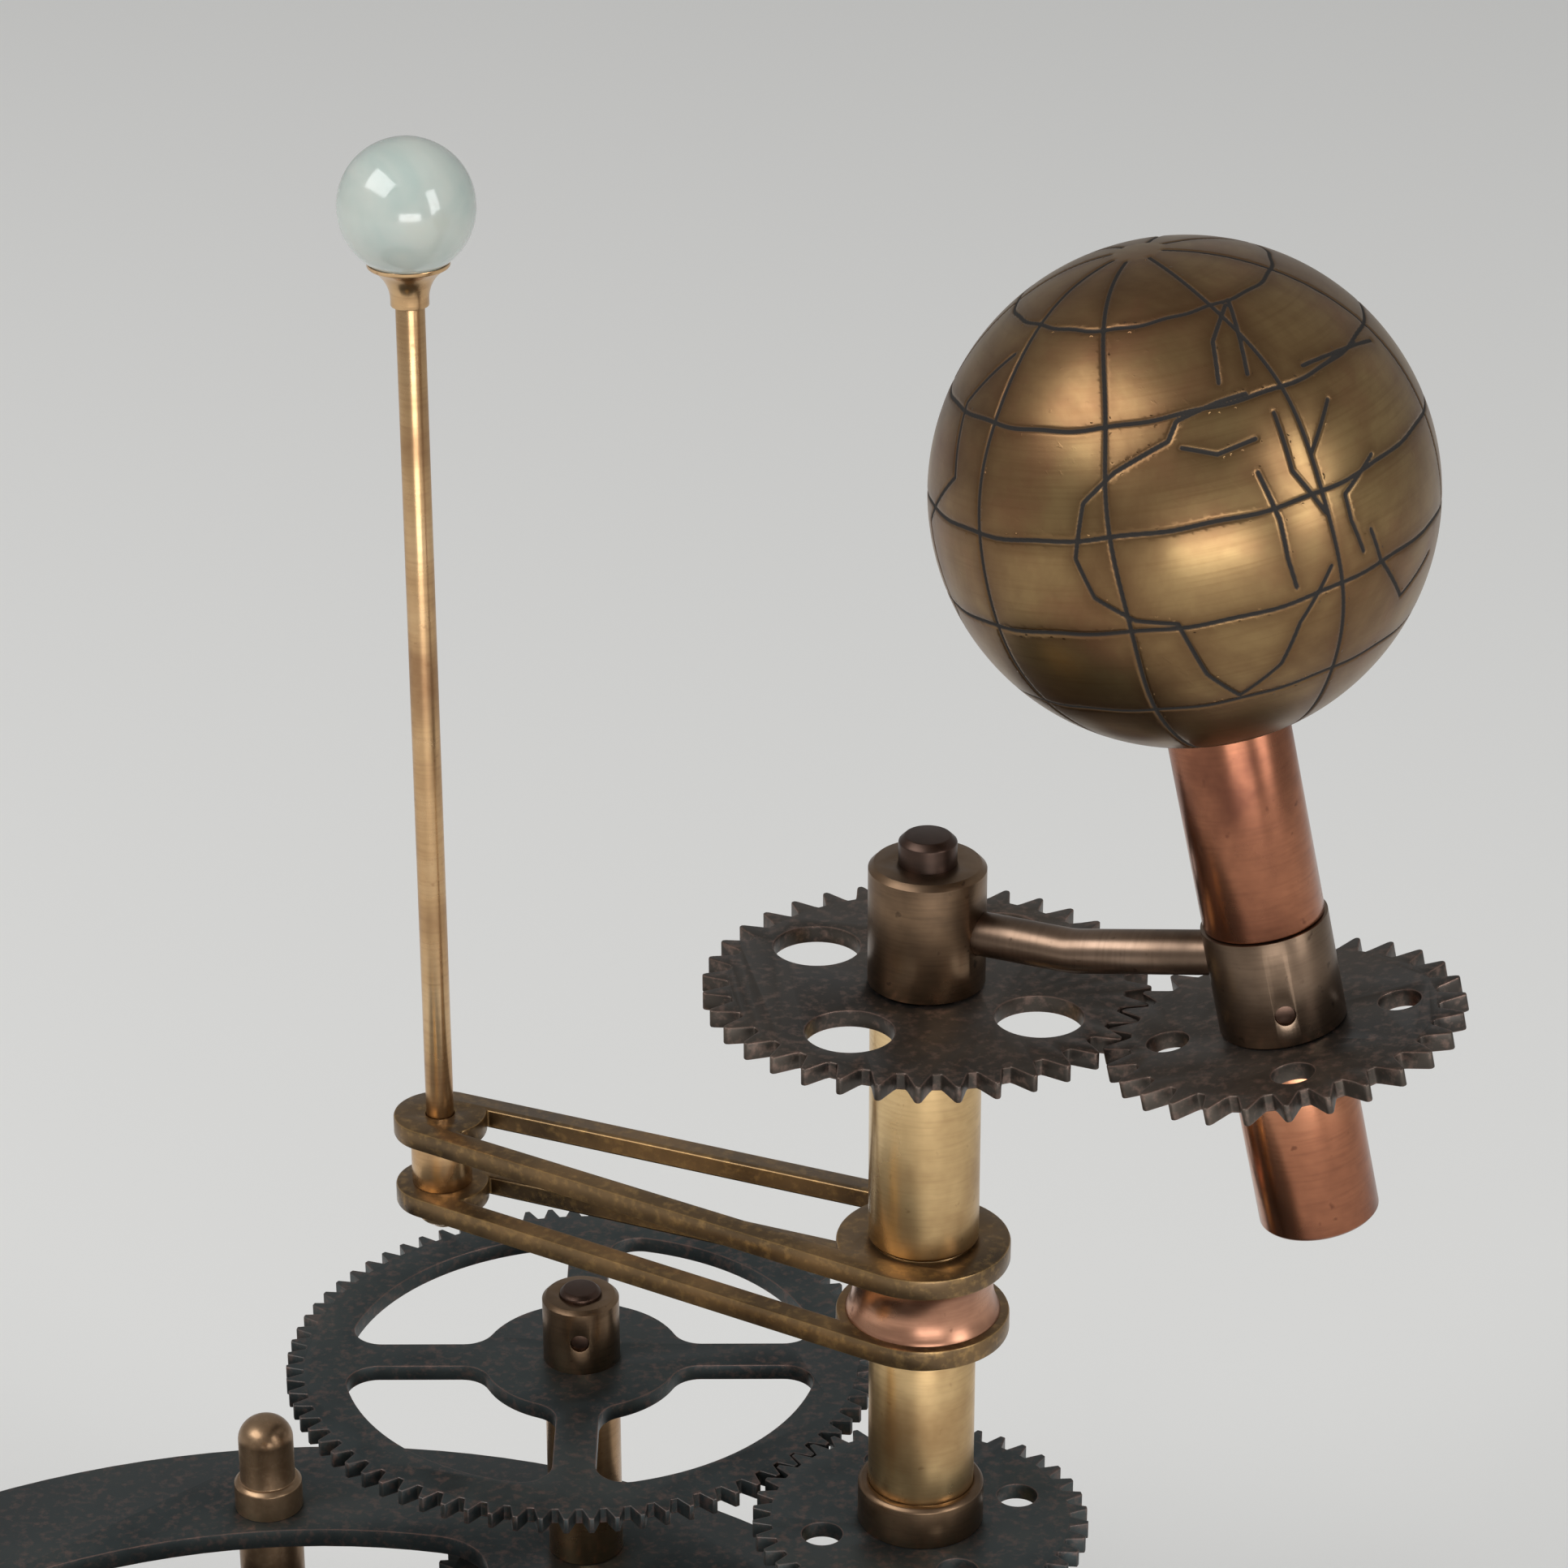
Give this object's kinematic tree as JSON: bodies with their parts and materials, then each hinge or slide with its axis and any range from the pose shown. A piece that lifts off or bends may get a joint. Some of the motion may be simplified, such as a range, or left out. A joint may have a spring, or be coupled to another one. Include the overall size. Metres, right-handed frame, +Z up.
{
  "type": "orrery",
  "caption": "Geared brass table orrery: a carriage on a round base turns a tilted Earth globe and a Moon on slotted arms about a column.",
  "frame": {"origin": "centre of the base's underside, on the carriage axis", "axes": "+Z up along the centre post; the picture looks along +Y with +X to the right"},
  "size_m": [0.2321, 0.208, 0.2289],
  "materials": {
    "patina_bronze": "dark patinated bronze",
    "dark_bronze": "brown bronze, worn edges",
    "brass": "turned brass",
    "aged_brass": "aged turned brass",
    "copper": "polished copper",
    "steel": "plain steel",
    "moon_glass": "milky opal glass",
    "walnut": "dark waxed walnut"
  },
  "bodies": {
    "stand": {"base": "walnut", "centre_post": "brass", "sun_ball": "aged_brass", "thrust_washer": "steel", "year_wheel": "patina_bronze", "year_wheel_hub": "dark_bronze"},
    "carriage": {"upper_plate": "patina_bronze", "lower_plate": "patina_bronze", "upper_hub": "brass", "lower_hub": "brass", "pillar_1": "dark_bronze", "pillar_2": "dark_bronze", "pillar_3": "dark_bronze", "pillar_cap_1": "dark_bronze", "pillar_cap_2": "dark_bronze", "pillar_cap_3": "dark_bronze", "pillar_screws": "steel", "column_foot": "brass", "foot_screws": "steel", "column_tube": "brass", "fixed_gear": "patina_bronze", "upper_sleeve": "brass", "arbor_post": "brass", "arbor_foot": "brass", "spindle_foot": "brass"},
    "month_arbor": {"month_arbor": "steel", "month_wheel": "patina_bronze", "month_wheel_hub": "dark_bronze", "month_hub_screw": "steel", "arm_pinion": "patina_bronze", "year_pinion": "patina_bronze", "arbor_spacer": "dark_bronze"},
    "moon": {"moon_wheel": "patina_bronze", "moon_wheel_hub": "dark_bronze", "moon_tube": "brass", "arm_washer": "steel", "lower_moon_arm": "dark_bronze", "upper_moon_arm": "dark_bronze", "arm_spool": "copper", "moon_rod": "brass", "rod_bush": "brass", "rod_nut": "copper", "moon_cup": "brass", "moon_ball": "moon_glass"},
    "earth_arm": {"arm_spindle": "steel", "arm_wheel": "patina_bronze", "arm_wheel_hub": "dark_bronze", "bent_arm": "dark_bronze", "arm_hub": "dark_bronze", "arm_hub_screw": "steel", "axle_collar": "dark_bronze", "collar_screw": "steel"},
    "earth": {"earth_axle": "steel", "earth_globe": "aged_brass", "upper_barrel": "copper", "earth_gear": "patina_bronze", "lower_barrel": "copper", "end_nut": "brass"}
  },
  "joints": [
    {"name": "carriage_turn", "type": "hinge", "parent": "stand", "child": "carriage", "pos_m": [0, 0, 0.047], "axis": [0, 0, 1], "continuous": true},
    {"name": "month_turn", "type": "hinge", "parent": "carriage", "child": "month_arbor", "pos_m": [0.03279, 0.06575, 0.047], "axis": [0, 0, 1], "continuous": true},
    {"name": "moon_turn", "type": "hinge", "parent": "carriage", "child": "moon", "pos_m": [0.07247, 0.03121, 0.047], "axis": [0, 0, 1], "continuous": true},
    {"name": "earth_arm_turn", "type": "hinge", "parent": "carriage", "child": "earth_arm", "pos_m": [0.07247, 0.03121, 0.142], "axis": [0, 0, 1], "continuous": true},
    {"name": "earth_spin", "type": "hinge", "parent": "earth_arm", "child": "earth", "pos_m": [0.10927, 0.01485, 0.14457], "axis": [-0.2049, 0.0332, 0.9782], "continuous": true}
  ],
  "couplings": [
    {"joint": "month_turn", "follows": "carriage_turn", "ratio": 7.1},
    {"joint": "moon_turn", "follows": "carriage_turn", "ratio": -13.49},
    {"joint": "earth_arm_turn", "follows": "carriage_turn", "ratio": -3.7368},
    {"joint": "earth_spin", "follows": "carriage_turn", "ratio": -4.8045}
  ]
}
